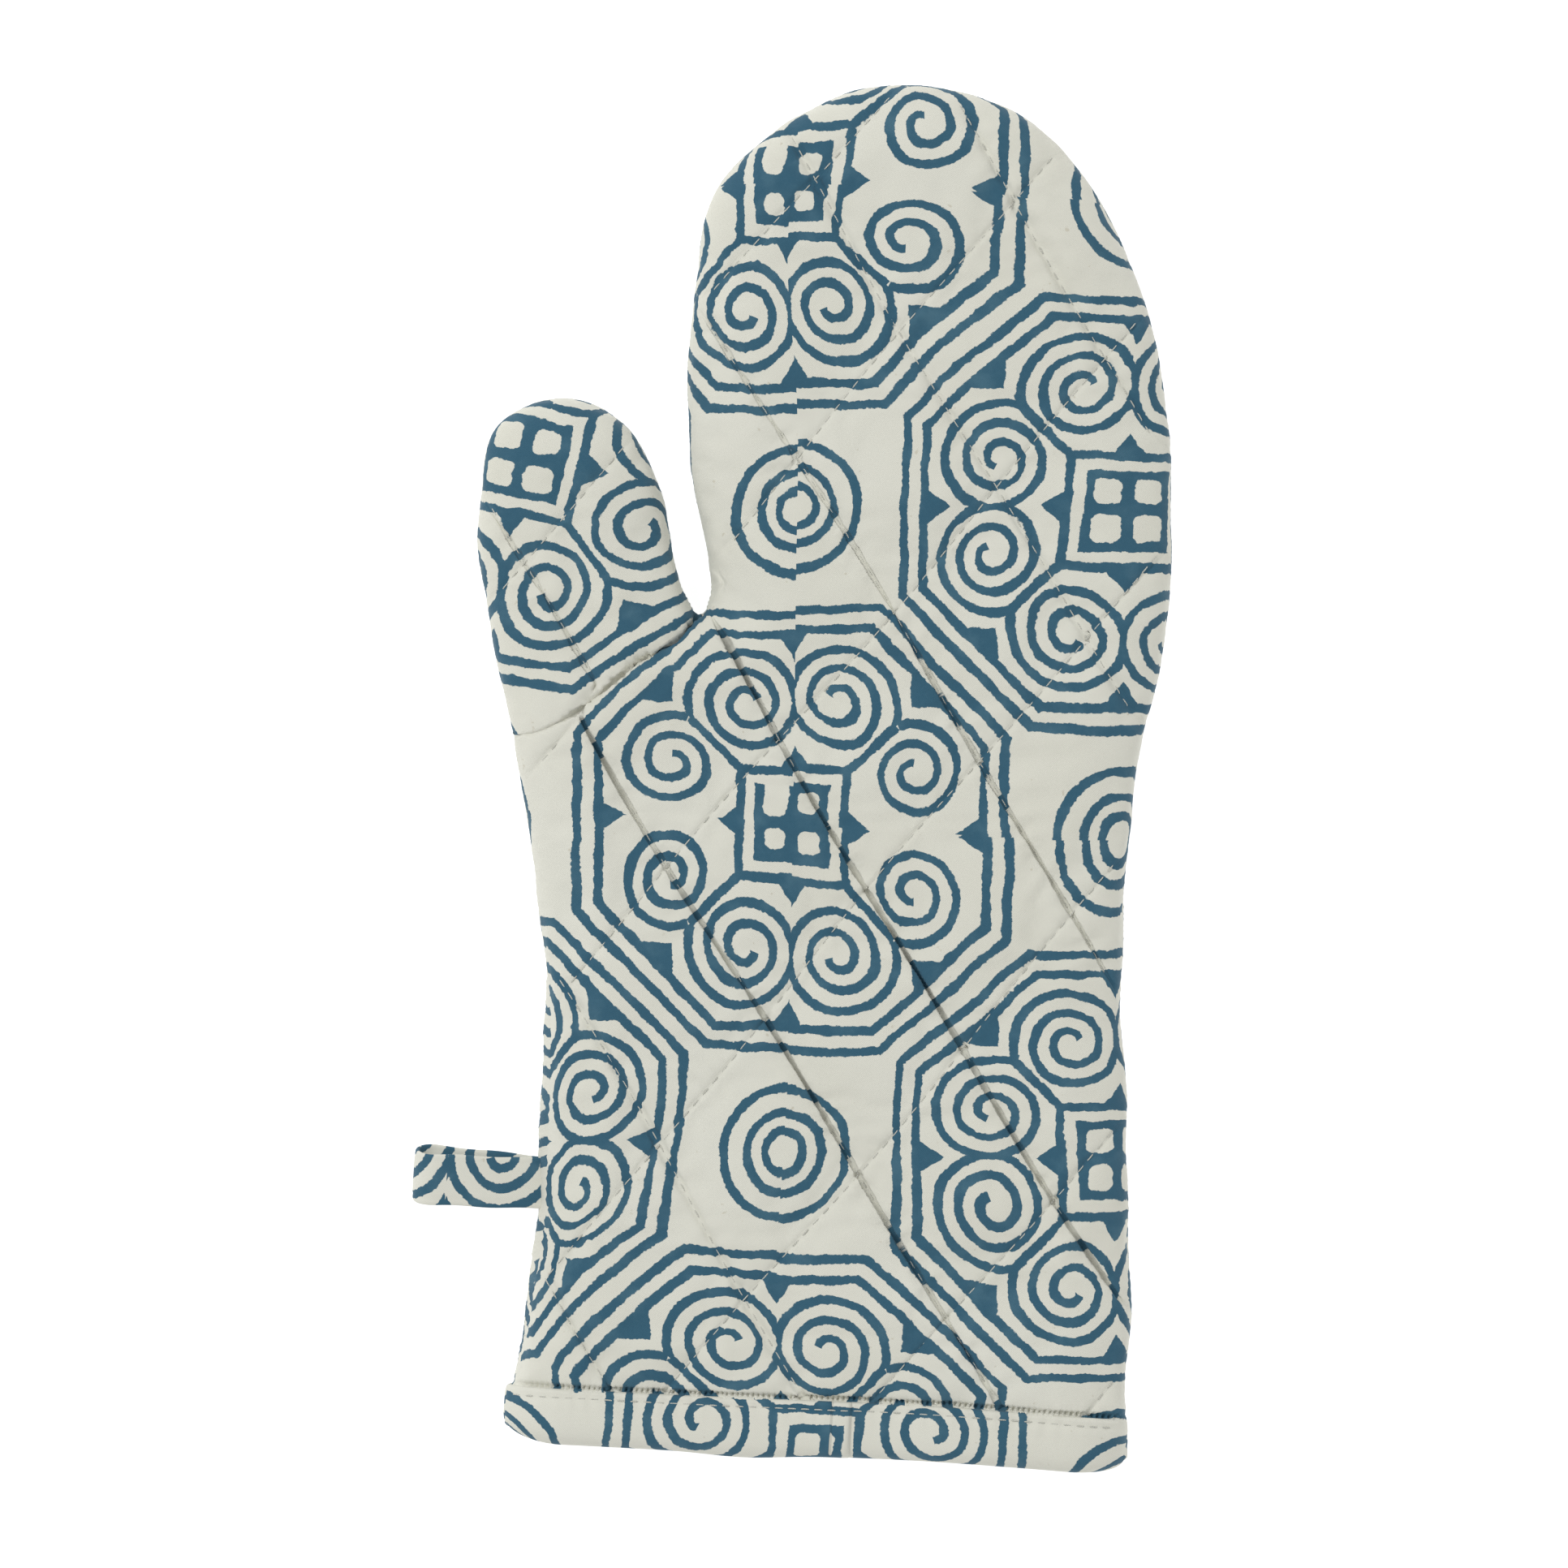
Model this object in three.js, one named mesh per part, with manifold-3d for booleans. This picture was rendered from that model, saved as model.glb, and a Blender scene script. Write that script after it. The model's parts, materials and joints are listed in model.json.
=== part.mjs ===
// A padded oven mitt that lies on its back: fingers towards +Y, thumb towards -X, palm up towards +Z.
// Millimetres. The origin is under the middle of the mitt, on the surface that it lies on.
//
// Each side of the mitt is three layers (printed shell, batting, lining) that curve in to a side seam
// at mid-height. Every layer is divided at the two folds where the mitt bends, across the roots of the
// fingers and across the root of the thumb. A binding closes the cuff and a tape loop hangs the mitt.

import * as THREE from 'three';
import { mergeVertices } from 'three/addons/utils/BufferGeometryUtils.js';
import Module from 'manifold-3d';

const wasm = await Module();
wasm.setup();

// ---------------------------------------------------------------- driving dimensions

const thickness = 22;
const midHeight = thickness / 2;
const edgeRadius = 14;      // how far in from the seam the surface is flat again
const edgeSteps = 2;        // facets in each quarter round at the edge
const gap = 0.3;            // clearance between pieces that touch
const sameVertex = 1e-4;    // vertices this close together are one

const shellCloth = 0.9;
const battingPad = 3.5;
const liningCloth = 0.8;
const bindingTape = 1.0;

const layers = {
  shell: { outer: 0, inner: shellCloth },
  batting: { outer: shellCloth + gap, inner: shellCloth + gap + battingPad },
  lining: {
    outer: shellCloth + battingPad + 2 * gap,
    inner: shellCloth + battingPad + 2 * gap + liningCloth,
  },
};

// The side seam, from the left end of the cuff up round the thumb and the fingers to the right end.
const seamPoints = [
  [-68.3, -157.5], [-68.2, -150], [-65.9, -141], [-62.2, -117], [-59.6, -90], [-58.8, -45],
  [-61.5, -19], [-67.4, 15], [-72.4, 40], [-74.6, 62], [-70, 83.5], [-54.5, 91],
  [-39.5, 84.5], [-32, 71], [-28.3, 54], [-24.8, 43], [-21.9, 39.5], [-19.5, 43], [-20.3, 54],
  [-24.6, 78], [-23.9, 108], [-16, 143], [21, 165], [60, 154], [83.3, 115], [89.9, 70],
  [87.8, 28], [82, 4], [78.6, -50], [80.4, -120], [79.3, -148], [79, -164.9],
];
const pointsPerSpan = 3;

const cuffLeft = new THREE.Vector2(-68.3, -156.6);
const cuffRight = new THREE.Vector2(79, -164.8);
const bindingHeight = 13.5;

const crotch = new THREE.Vector2(-22, 39.5);
const fingerFoldY = 48;
const thumbFoldAngle = THREE.MathUtils.degToRad(26);
const thumbDividerTop = new THREE.Vector2(-35, 120);   // from the crotch, between thumb and fingers

const loop = {
  root: -60.9,        // clear of the side seam, so that it can fold flat against either side
  end: -89.9,
  centreY: -93.9,
  width: 14.5,
  tape: 1.0,
  eyeRadius: 4.2,
  stub: 3,            // the part where its two ends are sewn together
  halfSlit: 0.25,     // half the height at which the eye begins, between the two ends
  arcSides: 10,
};

const colours = {
  print: 0xcdd0c6, batting: 0xf2efe6, lining: 0xd7d6cb, binding: 0xc9cbc2, loop: 0xb9c2c2,
};

// ---------------------------------------------------------------- solids

function solidOf(geometry) {
  const bare = geometry.clone();
  bare.deleteAttribute('normal');
  bare.deleteAttribute('uv');
  const merged = mergeVertices(bare, sameVertex);
  return new wasm.Manifold(new wasm.Mesh({
    numProp: 3,
    vertProperties: Float32Array.from(merged.attributes.position.array),
    triVerts: Uint32Array.from(merged.index.array),
  }));
}

function geometryOf(solid) {
  const mesh = solid.getMesh();
  const geometry = new THREE.BufferGeometry();
  geometry.setAttribute('position', new THREE.BufferAttribute(mesh.vertProperties, 3));
  geometry.setIndex(new THREE.BufferAttribute(mesh.triVerts, 1));
  return geometry;
}

// An upright prism over a polygon, from low to high.
function prism(corners, low, high) {
  const geometry = new THREE.ExtrudeGeometry(new THREE.Shape(corners), {
    depth: high - low, bevelEnabled: false,
  });
  geometry.translate(0, 0, low);
  return solidOf(geometry);
}

// ---------------------------------------------------------------- outline and padded form

const farAway = 400;
const overrun = 20;     // the padded form runs this far past the cuff, and is cut off there

const cuffAlong = cuffRight.clone().sub(cuffLeft).normalize();
const cuffUp = new THREE.Vector2(-cuffAlong.y, cuffAlong.x);

function seamOutline() {
  const curve = new THREE.CatmullRomCurve3(
    seamPoints.map(([x, y]) => new THREE.Vector3(x, y, 0)), false, 'centripetal');
  const seam = curve.getPoints((seamPoints.length - 1) * pointsPerSpan)
    .map((point) => new THREE.Vector2(point.x, point.y));
  const below = (point) => point.clone().addScaledVector(cuffUp, -overrun);
  return [...seam, below(seam.at(-1)), below(seam[0])];
}

// Every outline point with the direction that leads straight in from it, stretched at the corners so
// that both edges beside the point move in by the same distance. The outline runs clockwise.
function withInwardDirections(outline) {
  return outline.map((point, i) => {
    const before = outline.at(i - 1);
    const after = outline[(i + 1) % outline.length];
    const arriving = point.clone().sub(before).normalize();
    const leaving = after.clone().sub(point).normalize();
    const across = arriving.add(leaving).normalize();
    const cosine = across.dot(leaving);
    return { point, inward: new THREE.Vector2(across.y, -across.x).divideScalar(cosine) };
  });
}

const outline = withInwardDirections(seamOutline());

// The mitt's padded form with a skin of the given thickness taken off all round: a quarter ellipse
// rises from the seam to the flat top, and its mirror image falls to the flat bottom.
function paddedForm(depth) {
  const rings = [];
  for (let step = -edgeSteps; step <= edgeSteps; step += 1) {
    const turn = (Math.PI / 2) * (step / edgeSteps);
    const inset = depth + (edgeRadius - depth) * (1 - Math.cos(turn));
    const height = midHeight + (midHeight - depth) * Math.sin(turn);
    rings.push(outline.map(({ point, inward }) => {
      const moved = point.clone().addScaledVector(inward, inset);
      return [moved.x, moved.y, height];
    }));
  }
  const count = outline.length;
  const triangles = [];
  for (let ring = 0; ring + 1 < rings.length; ring += 1) {
    for (let i = 0; i < count; i += 1) {
      const a = ring * count + i;
      const b = ring * count + (i + 1) % count;
      triangles.push([b, a, a + count], [b, a + count, b + count]);
    }
  }
  const lid = rings[0].map(([x, y]) => new THREE.Vector2(x, y));
  const top = (rings.length - 1) * count;
  for (const [a, b, c] of THREE.ShapeUtils.triangulateShape(lid, [])) {
    const upward = THREE.ShapeUtils.area([lid[a], lid[b], lid[c]]) > 0;
    const face = upward ? [a, b, c] : [a, c, b];
    triangles.push([face[0], face[2], face[1]], face.map((corner) => corner + top));
  }
  return new wasm.Manifold(new wasm.Mesh({
    numProp: 3,
    vertProperties: Float32Array.from(rings.flat(2)),
    triVerts: Uint32Array.from(triangles.flat()),
  }));
}

function hollow(outer, inner) {
  return paddedForm(outer).subtract(paddedForm(inner));
}

// ---------------------------------------------------------------- regions that divide the layers

// The part of the mitt more than a distance above the open end of the cuff.
function aboveCuff(distance) {
  const left = cuffLeft.clone().addScaledVector(cuffUp, distance).addScaledVector(cuffAlong, -farAway);
  const right = left.clone().addScaledVector(cuffAlong, 3 * farAway);
  const up = cuffUp.clone().multiplyScalar(2 * farAway);
  return prism([left, right, right.clone().add(up), left.clone().add(up)], -farAway, farAway);
}

function band(low, high) {
  return aboveCuff(low).subtract(aboveCuff(high));
}

const foldReach = farAway / 2;
const thumbFoldEnd = crotch.clone().add(
  new THREE.Vector2(-Math.cos(thumbFoldAngle), -Math.sin(thumbFoldAngle)).multiplyScalar(foldReach));
const fingerFoldStart = new THREE.Vector2(crotch.x, fingerFoldY);
const top = (x) => new THREE.Vector2(x, foldReach);

const regions = {
  hand: [
    new THREE.Vector2(-foldReach, -foldReach),
    new THREE.Vector2(foldReach, -foldReach),
    new THREE.Vector2(foldReach, fingerFoldY - gap / 2),
    new THREE.Vector2(crotch.x, fingerFoldY - gap / 2),
    new THREE.Vector2(crotch.x, crotch.y - gap / 2),
    new THREE.Vector2(thumbFoldEnd.x, thumbFoldEnd.y - gap / 2),
  ],
  fingers: [
    new THREE.Vector2(fingerFoldStart.x, fingerFoldY + gap / 2),
    new THREE.Vector2(foldReach, fingerFoldY + gap / 2),
    top(foldReach),
    top(thumbDividerTop.x),
    thumbDividerTop,
  ],
  thumb: [
    new THREE.Vector2(crotch.x, crotch.y + gap / 2),
    thumbDividerTop,
    top(thumbDividerTop.x),
    top(thumbFoldEnd.x),
    new THREE.Vector2(thumbFoldEnd.x, thumbFoldEnd.y + gap / 2),
  ],
};

const sides = {
  front: [midHeight + gap / 2, farAway],
  back: [-farAway, midHeight - gap / 2],
};

// ---------------------------------------------------------------- the pieces

const mitt = new THREE.Group();

function addPiece(name, geometry, colour, roughness = 0.9) {
  const material = new THREE.MeshStandardMaterial({ color: colour, roughness, metalness: 0 });
  const mesh = new THREE.Mesh(geometry, material);
  mesh.name = name;
  mitt.add(mesh);
}

// Shells stop at the binding's upper edge. Batting and lining run on down inside the binding.
function addLayers() {
  const layerColour = { shell: colours.print, batting: colours.batting, lining: colours.lining };
  for (const [layer, depth] of Object.entries(layers)) {
    const lowest = layer === 'shell' ? bindingHeight + gap : bindingTape + gap;
    const whole = hollow(depth.outer, depth.inner).intersect(aboveCuff(lowest));
    for (const [side, [low, high]] of Object.entries(sides)) {
      for (const [region, corners] of Object.entries(regions)) {
        const piece = whole.intersect(prism(corners, low, high));
        addPiece(`${side}_${layer}_${region}`, geometryOf(piece), layerColour[layer]);
      }
    }
  }
}

// A tape folded over the raw edge of the cuff, all the way round its mouth.
function addBinding() {
  const legInner = layers.lining.inner + gap;
  const sleeve = hollow(0, legInner + bindingTape).intersect(band(0, bindingHeight));
  const filling = hollow(bindingTape, legInner).intersect(aboveCuff(bindingTape));
  addPiece('cuff_binding', geometryOf(sleeve.subtract(filling)), colours.binding);
}

// The tape lies in a drop shape seen along Y: a round end, and two straight runs back to the seam.
function dropShape(radius, centreX, rootX, rootHalfHeight) {
  const lean = Math.asin((radius - rootHalfHeight) / (rootX - centreX));
  const startAngle = Math.PI / 2 - lean;
  const shape = new THREE.Path();
  shape.moveTo(rootX, rootHalfHeight);
  shape.lineTo(centreX + radius * Math.cos(startAngle), radius * Math.sin(startAngle));
  shape.absarc(centreX, 0, radius, startAngle, 2 * Math.PI - startAngle, false);
  shape.lineTo(rootX, -rootHalfHeight);
  return shape.getPoints(loop.arcSides);
}

function addLoop() {
  const outerRadius = loop.eyeRadius + loop.tape;
  const centreX = loop.end + outerRadius;
  const shape = new THREE.Shape(dropShape(outerRadius, centreX, loop.root, loop.tape));
  shape.holes.push(new THREE.Path(
    dropShape(loop.eyeRadius, centreX, loop.root - loop.stub, loop.halfSlit)));
  const geometry = new THREE.ExtrudeGeometry(shape, { depth: loop.width, bevelEnabled: false });
  geometry.translate(0, 0, -loop.width / 2);
  geometry.rotateX(Math.PI / 2);
  geometry.translate(0, loop.centreY, midHeight);
  addPiece('hanging_loop', geometry, colours.loop);
}

addLayers();
addBinding();
addLoop();

export default mitt;
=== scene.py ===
"""A padded oven mitt of block-printed, diamond-quilted cotton, lying on its back.

The CAD frame gives the outline of the side seam, the height of the mitt, the cuff and the loop. The cloth is
made here: both sides are one skin, simulated over its quilting, then divided into the hand with its fingers
and the thumb. Lengths are in millimetres until a mesh is made.
"""

import json
from math import asin, copysign, cos, dist, pi, radians, sin, sqrt

import bmesh
import bpy
import numpy as np
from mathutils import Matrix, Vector
from mathutils.bvhtree import BVHTree
from mathutils.geometry import delaunay_2d_cdt
from mathutils.kdtree import KDTree


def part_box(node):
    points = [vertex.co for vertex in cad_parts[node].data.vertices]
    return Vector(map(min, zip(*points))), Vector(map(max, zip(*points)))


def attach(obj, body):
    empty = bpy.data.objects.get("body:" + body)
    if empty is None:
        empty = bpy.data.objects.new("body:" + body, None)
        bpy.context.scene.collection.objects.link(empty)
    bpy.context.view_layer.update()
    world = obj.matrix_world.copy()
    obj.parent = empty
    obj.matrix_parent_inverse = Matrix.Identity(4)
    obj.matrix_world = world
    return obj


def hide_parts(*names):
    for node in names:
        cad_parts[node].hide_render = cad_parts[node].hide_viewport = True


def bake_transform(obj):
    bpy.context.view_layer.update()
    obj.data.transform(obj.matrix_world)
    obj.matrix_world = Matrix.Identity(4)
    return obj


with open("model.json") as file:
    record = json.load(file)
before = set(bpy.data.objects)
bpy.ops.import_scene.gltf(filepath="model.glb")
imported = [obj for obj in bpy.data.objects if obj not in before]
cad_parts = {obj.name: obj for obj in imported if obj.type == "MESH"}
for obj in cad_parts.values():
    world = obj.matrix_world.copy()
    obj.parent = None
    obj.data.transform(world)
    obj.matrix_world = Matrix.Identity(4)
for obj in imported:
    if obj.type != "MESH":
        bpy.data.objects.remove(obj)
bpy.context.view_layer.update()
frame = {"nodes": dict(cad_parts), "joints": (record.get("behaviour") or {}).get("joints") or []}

MM = 0.001


# ---- the frame's places

def box_mm(node):
    low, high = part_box(node)
    return np.array(low) / MM, np.array(high) / MM


TOP = box_mm("front_shell_hand")[1][2]
MID = (box_mm("front_shell_hand")[0][2] + box_mm("back_shell_hand")[1][2]) / 2
HALF = TOP - MID
EDGE = 14.0  # how far in from the seam the surface is flat again
SWELL = 1.3  # how far the padding stands out past the seam, which is pulled in


def welded(*names):
    mesh = bmesh.new()
    for name in names:
        mesh.from_mesh(frame["nodes"][name].data)
    bmesh.ops.remove_doubles(mesh, verts=mesh.verts, dist=1e-6)
    mesh.normal_update()
    return mesh


def outer_rim_edges():
    """The shells' outer edges at mid-height. Looking down just outside one of them, nothing is there."""
    names = [f"front_shell_{part}" for part in ("hand", "fingers", "thumb")]
    shells = welded(*names)
    everything = BVHTree.FromBMesh(welded(*names, "cuff_binding"))
    rim = min(vertex.co.z for vertex in shells.verts)
    for edge in shells.edges:
        ends = [vertex.co for vertex in edge.verts]
        walls = [face for face in edge.link_faces if abs(face.normal.z) < 0.9]
        if max(end.z for end in ends) > rim + 1e-6 or len(walls) != 1:
            continue
        outward = walls[0].normal.xy.normalized() * 0.0015
        probe = (ends[0] + ends[1]) / 2 + Vector((outward.x, outward.y, 1))
        if everything.ray_cast(probe, Vector((0, 0, -1)))[0] is None:
            yield tuple((round(end.x / MM, 3), round(end.y / MM, 3)) for end in ends)


def chained(segments):
    """One path of points: along shared ends, and from a loose end to the nearest point that is left.
    What lies far from a loose end isn't part of the path."""
    joined = {}
    for a, b in segments:
        joined.setdefault(a, []).append(b)
        joined.setdefault(b, []).append(a)
    point = min((p for p in joined if p[0] < 0), key=lambda p: p[1])
    path, left = [point], set(joined) - {point}
    while left:
        onward = [p for p in joined[point] if p in left]
        point = onward[0] if onward else min(left, key=lambda p: dist(p, path[-1]))
        left.discard(point)
        if not onward and dist(point, path[-1]) > 15:
            break
        if dist(point, path[-1]) > 1:
            path.append(point)
    return path


def mouth_line():
    """The cuff's open end at mid-height: its left and right corners, and the direction up the cuff."""
    band = frame["nodes"]["cuff_binding"].data
    lowest = min(band.polygons, key=lambda face: face.normal.y)
    up = -np.array(lowest.normal)[:2]
    points = np.array([vertex.co for vertex in band.vertices]) / MM
    heights = points[:, :2] @ up
    at_mouth = points[(abs(points[:, 2] - MID) < 0.05) & (heights < heights.min() + 0.05)]
    left = at_mouth[at_mouth[:, 0].argmin()][:2]
    right = at_mouth[at_mouth[:, 0].argmax()][:2]
    return left, right, up / np.linalg.norm(up)


MOUTH_LEFT, MOUTH_RIGHT, CUFF_UP = mouth_line()
CUFF_ALONG = np.array([CUFF_UP[1], -CUFF_UP[0]])
BAND = 13.5  # how far the binding reaches up from the mouth


def height_up(points):
    """How far points lie above the cuff's open end."""
    return (points - MOUTH_LEFT) @ CUFF_UP


# ---- paths

def sizes(rows):
    """The length of each vector."""
    return np.linalg.norm(rows, axis=1)


def lengths_along(path):
    """How far along the path each of its points is."""
    return np.r_[0, np.cumsum(sizes(np.diff(path, axis=0)))]


def left_of(path):
    """The direction to the left at each point of a path."""
    turn = np.gradient(path, axis=0)
    return np.column_stack([-turn[:, 1], turn[:, 0]]) / sizes(turn)[:, None]


def evenly(path, step):
    """The same path with its points an even step apart."""
    lengths = lengths_along(path)
    at = np.linspace(0, lengths[-1], max(2, round(lengths[-1] / step) + 1))
    return np.column_stack([np.interp(at, lengths, path[:, k]) for k in range(path.shape[1])])


def mix(t, a, t_a, b, t_b):
    """The value at t on the line from a at t_a to b at t_b."""
    return (t_b - t) / (t_b - t_a) * a + (t - t_a) / (t_b - t_a) * b


def curve_through(points, step):
    """An even path on the centripetal Catmull-Rom curve through points."""
    points = np.array(points, float)
    guides = np.vstack([2 * points[0] - points[1], points, 2 * points[-1] - points[-2]])
    path = []
    for p0, p1, p2, p3 in zip(guides, guides[1:], guides[2:], guides[3:]):
        t1 = np.linalg.norm(p1 - p0) ** 0.5
        t2 = t1 + np.linalg.norm(p2 - p1) ** 0.5
        t3 = t2 + np.linalg.norm(p3 - p2) ** 0.5
        for t in np.linspace(t1, t2, 12, endpoint=False):
            a1, a2, a3 = mix(t, p0, 0, p1, t1), mix(t, p1, t1, p2, t2), mix(t, p2, t2, p3, t3)
            path.append(mix(t, mix(t, a1, 0, a2, t2), t1, mix(t, a2, t1, a3, t3), t2))
    path.append(points[-1])
    return evenly(np.array(path), step)


def inward_from(index, flat, distance):
    """The direction from the nearest point of the seam to each point, and straight in on the seam itself."""
    straight = (flat - SEAM[index]) / np.maximum(distance, 0.01)[:, None]
    return np.where(distance[:, None] > 0.6, straight, SEAM_INWARD[index])


class Nearest:
    """Finds the nearest point of a path."""

    def __init__(self, path):
        self.tree = KDTree(len(path))
        for i, point in enumerate(path):
            self.tree.insert((point[0], point[1], 0), i)
        self.tree.balance()

    def __call__(self, points):
        found = [self.tree.find((x, y, 0))[1:] for x, y in points]
        return np.array([i for i, _ in found]), np.array([d for _, d in found])


def bell(distance, width):
    """1 at no distance, falling off smoothly to both sides."""
    return np.exp(-((distance / width) ** 2))


def share(value):
    """The value kept between 0 and 1."""
    return np.clip(value, 0, 1)


def murmur(points, wavelength, seed):
    """Smooth noise of about -1 to 1: a sum of waves of about that length."""
    rng = np.random.default_rng(seed)
    total = np.zeros(len(points))
    waves = 14
    for _ in range(waves):
        direction = rng.normal(size=points.shape[1])
        direction *= 2 * pi / (np.linalg.norm(direction) * wavelength * rng.uniform(0.6, 1.5))
        total += np.sin(points @ direction + rng.uniform(0, 2 * pi))
    return total / sqrt(waves)


def inside(points, polygon):
    """Which points lie inside the polygon."""
    x, y = points[:, 0], points[:, 1]
    crossings = np.zeros(len(points), bool)
    for (x1, y1), (x2, y2) in zip(polygon, np.roll(polygon, -1, axis=0)):
        if y1 != y2:
            crossings ^= ((y1 > y) != (y2 > y)) & (x < (x2 - x1) * (y - y1) / (y2 - y1) + x1)
    return crossings


GRAIN = 0.5  # from point to point of the seam, the pleat and the lines of quilting
SEAM = curve_through([tuple(MOUTH_LEFT), *chained(outer_rim_edges()), tuple(MOUTH_RIGHT)], GRAIN)
SEAM_INWARD = -left_of(SEAM)
nearest_seam = Nearest(SEAM)
CROTCH = SEAM[np.argmin(SEAM[:, 1] + 1000 * (abs(SEAM[:, 0] + 22) > 12) + 1000 * (SEAM[:, 1] < 0))]


# ---- quilting and the thumb's pleat

QUILT_ORIGIN = np.array([1.2, 75.8])
QUILT_STEPS = np.array([[21.5, -36.0], [-25.5, -30.0]])
BACK_QUILT_SHIFT = np.array([9.0, 14.0])
CREASES = {0: 0.35, 1: 1.0, 2: 0.75}  # the front's lines that are creased, and how sharply
QUILT_ON_THUMB = np.array([8.4, -0.7])  # how far the pleat moves the front's lines on the thumb
LINE_NUMBERS = range(-8, 9)
TUCK = 3.0  # the panels run down inside the binding to this height above the mouth


def quilt_lines(side):
    """The lines of quilting on one side, in two families, each as an even path over the whole mitt."""
    origin = QUILT_ORIGIN if side > 0 else QUILT_ORIGIN + BACK_QUILT_SHIFT
    families = []
    for along, across in (QUILT_STEPS, QUILT_STEPS[::-1]):
        direction = along / np.linalg.norm(along)
        normal = np.array([-direction[1], direction[0]])
        lines = []
        for k in LINE_NUMBERS:
            run = np.arange(-260.0, 260.0, GRAIN)
            wander = 0.9 * np.sin(run / 41 + 2.1 * k) + 0.5 * np.sin(run / 17 + 1.3 * k)
            line = origin + k * across + run[:, None] * direction + wander[:, None] * normal
            if side > 0:
                past_pleat = share(nearest_pleat(line)[1] / 8) * inside(line, thumb_region())
                line += past_pleat[:, None] * QUILT_ON_THUMB
            lines.append(line)
        families.append(lines)
    return families


PLEAT_BENDS = np.array([[-28.4, 32.4], [-36.6, 27.8], [-49.4, 17.2], [-60.0, 11.5]])


def pleat_path():
    """The fold at the root of the thumb, from the crotch to the left seam."""
    left = SEAM[: len(SEAM) // 3]
    end = left[np.argmin(abs(left[:, 1] - 10.5))]
    return curve_through([CROTCH, *PLEAT_BENDS, end], GRAIN)


PLEAT = pleat_path()
nearest_pleat = Nearest(PLEAT)


def thumb_region():
    """A polygon round the thumb, on its side of the pleat."""
    return np.vstack([PLEAT[::-1], [[-36.0, 120.0], [-200.0, 120.0], [-200.0, PLEAT[-1][1]]]])


# ---- the flat skin

SPACING = 2.5  # from vertex to vertex
BESIDE = 0.8  # how close a row of vertices follows a line of quilting
IN_CREASE = 0.3  # how close one follows a sharp crease
BY_CREVICE = 1.1  # how close one follows the crevice at the binding


def panel_outline():
    """The seam above the tuck, with an even step, and the straight line across the cuff."""
    above = np.nonzero(height_up(SEAM) > TUCK)[0]
    seam = evenly(SEAM[above[0]: above[-1] + 1], SPACING / 2)
    across = evenly(np.array([seam[-1], seam[0]]), SPACING)[1:-1]
    return seam, across


def rows_beside(line, distances):
    """Points close to a line on both sides, so that a narrow groove can follow it."""
    if len(line) < 3:
        return []
    return [line + left_of(line) * distance for near in distances for distance in (near, -near)]


def binding_crevice():
    """The line along the binding's upper edge where the padded cloth goes down behind it."""
    return on_cuff(np.arange(1.0, CUFF_WIDTH - 1.0, SPACING / 2), BAND + 0.2)


def drop_near(points, others, distance):
    """The points that lie farther than that from all others."""
    return points[Nearest(others)(points)[1] > distance]


def filling_points(rim):
    """Rings of points beside the seam, closer together where the edge is round, and an even grid inside."""
    filling = []
    for turn, step in ((18, 0.5), (32, 0.6), (46, 0.8), (60, 1), (75, 1), (90, 1)):
        inset = EDGE * (1 - cos(radians(turn)))
        ring = evenly(SEAM + SEAM_INWARD * inset, SPACING * step)
        filling.append(ring[abs(nearest_seam(ring)[1] - inset) < 0.15])
    low, high = rim.min(0), rim.max(0)
    rows = np.arange(low[1], high[1], SPACING * sqrt(0.75))
    grid = np.array([(x + SPACING / 2 * (j % 2), y)
                     for j, y in enumerate(rows) for x in np.arange(low[0], high[0], SPACING)])
    filling.append(grid[nearest_seam(grid)[1] > EDGE + 0.6 * SPACING])
    filling = np.vstack(filling)
    return filling[inside(filling, rim) & (height_up(filling) > TUCK + 0.6 * SPACING)]


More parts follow.
